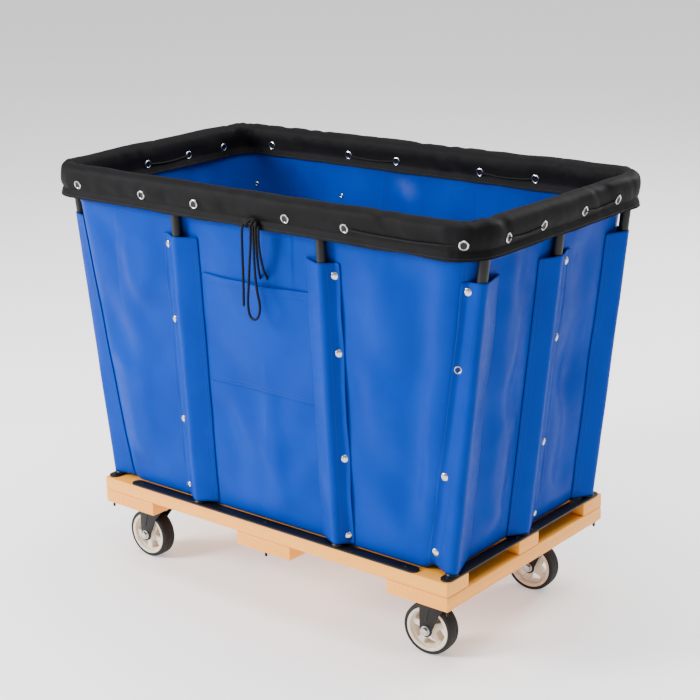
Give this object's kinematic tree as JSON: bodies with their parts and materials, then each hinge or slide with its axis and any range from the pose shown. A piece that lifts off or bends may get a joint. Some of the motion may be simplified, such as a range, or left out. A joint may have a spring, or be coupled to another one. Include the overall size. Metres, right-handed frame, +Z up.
{
  "type": "laundry cart",
  "caption": "Rolling laundry basket truck: a blue vinyl liner snapped round a black steel frame, with a laced black rim cover, on a boarded base with swivel casters.",
  "frame": {"origin": "on the floor under the middle of the cart", "axes": "+X along the length towards the right end, +Y from the pocket side to the back, +Z up"},
  "size_m": [1.0234, 0.5849, 0.8447],
  "materials": {
    "pine_board": "planed, clear sealed",
    "black_steel": "satin black powder coat",
    "blue_vinyl": "glossy vinyl coated cloth",
    "black_nylon": "matt coated nylon",
    "lace_cord": "braided polyester cord",
    "zinc_plate": "bright zinc plate",
    "cream_plastic": "moulded, satin",
    "black_rubber": "moulded rubber tread"
  },
  "bodies": {
    "root": {"front_runner": "pine_board", "middle_runner": "pine_board", "rear_runner": "pine_board", "left_crossboard": "pine_board", "middle_crossboard": "pine_board", "right_crossboard": "pine_board", "front_base_bar": "black_steel", "rear_base_bar": "black_steel", "left_base_bar": "black_steel", "right_base_bar": "black_steel", "top_rail": "black_steel", "front_left_upright": "black_steel", "front_right_upright": "black_steel", "rear_left_upright": "black_steel", "rear_right_upright": "black_steel", "left_front_upright": "black_steel", "left_middle_upright": "black_steel", "left_rear_upright": "black_steel", "right_front_upright": "black_steel", "right_middle_upright": "black_steel", "right_rear_upright": "black_steel", "front_left_sleeve": "blue_vinyl", "front_right_sleeve": "blue_vinyl", "rear_left_sleeve": "blue_vinyl", "rear_right_sleeve": "blue_vinyl", "left_front_sleeve": "blue_vinyl", "left_middle_sleeve": "blue_vinyl", "left_rear_sleeve": "blue_vinyl", "right_front_sleeve": "blue_vinyl", "right_middle_sleeve": "blue_vinyl", "right_rear_sleeve": "blue_vinyl", "vinyl_liner": "blue_vinyl", "liner_floor": "blue_vinyl", "front_pocket": "blue_vinyl", "rim_cover": "black_nylon", "rim_lace": "lace_cord", "drawstring_knot": "lace_cord", "drawstring_tail": "lace_cord", "drawstring_loop": "lace_cord", "drawstring_tucked_loop": "lace_cord", "front_left_caster_plate": "black_steel", "front_right_caster_plate": "black_steel", "rear_left_caster_plate": "black_steel", "rear_right_caster_plate": "black_steel"},
    "front_left_caster": {"front_left_caster_fork": "black_steel", "front_left_caster_axle": "zinc_plate"},
    "front_left_wheel": {"front_left_wheel_hub": "cream_plastic", "front_left_tyre": "black_rubber"},
    "front_right_caster": {"front_right_caster_fork": "black_steel", "front_right_caster_axle": "zinc_plate"},
    "front_right_wheel": {"front_right_wheel_hub": "cream_plastic", "front_right_tyre": "black_rubber"},
    "rear_left_caster": {"rear_left_caster_fork": "black_steel", "rear_left_caster_axle": "zinc_plate"},
    "rear_left_wheel": {"rear_left_wheel_hub": "cream_plastic", "rear_left_tyre": "black_rubber"},
    "rear_right_caster": {"rear_right_caster_fork": "black_steel", "rear_right_caster_axle": "zinc_plate"},
    "rear_right_wheel": {"rear_right_wheel_hub": "cream_plastic", "rear_right_tyre": "black_rubber"}
  },
  "joints": [
    {"name": "front_left_swivel", "type": "hinge", "parent": "root", "child": "front_left_caster", "pos_m": [-0.364, -0.169, 0.128], "axis": [0, 0, 1], "continuous": true},
    {"name": "front_left_roll", "type": "hinge", "parent": "front_left_caster", "child": "front_left_wheel", "pos_m": [-0.39499, -0.16954, 0.051], "axis": [-0.0175, 0.9998, 0], "continuous": true},
    {"name": "front_right_swivel", "type": "hinge", "parent": "root", "child": "front_right_caster", "pos_m": [0.364, -0.169, 0.128], "axis": [0, 0, 1], "continuous": true},
    {"name": "front_right_roll", "type": "hinge", "parent": "front_right_caster", "child": "front_right_wheel", "pos_m": [0.33314, -0.17197, 0.051], "axis": [-0.0958, 0.9954, 0], "continuous": true},
    {"name": "rear_left_swivel", "type": "hinge", "parent": "root", "child": "rear_left_caster", "pos_m": [-0.364, 0.169, 0.128], "axis": [0, 0, 1], "continuous": true},
    {"name": "rear_left_roll", "type": "hinge", "parent": "rear_left_caster", "child": "rear_left_wheel", "pos_m": [-0.39499, 0.16846, 0.051], "axis": [-0.0175, 0.9998, 0], "continuous": true},
    {"name": "rear_right_swivel", "type": "hinge", "parent": "root", "child": "rear_right_caster", "pos_m": [0.364, 0.169, 0.128], "axis": [0, 0, 1], "continuous": true},
    {"name": "rear_right_roll", "type": "hinge", "parent": "rear_right_caster", "child": "rear_right_wheel", "pos_m": [0.33314, 0.16603, 0.051], "axis": [-0.0958, 0.9954, 0], "continuous": true}
  ]
}
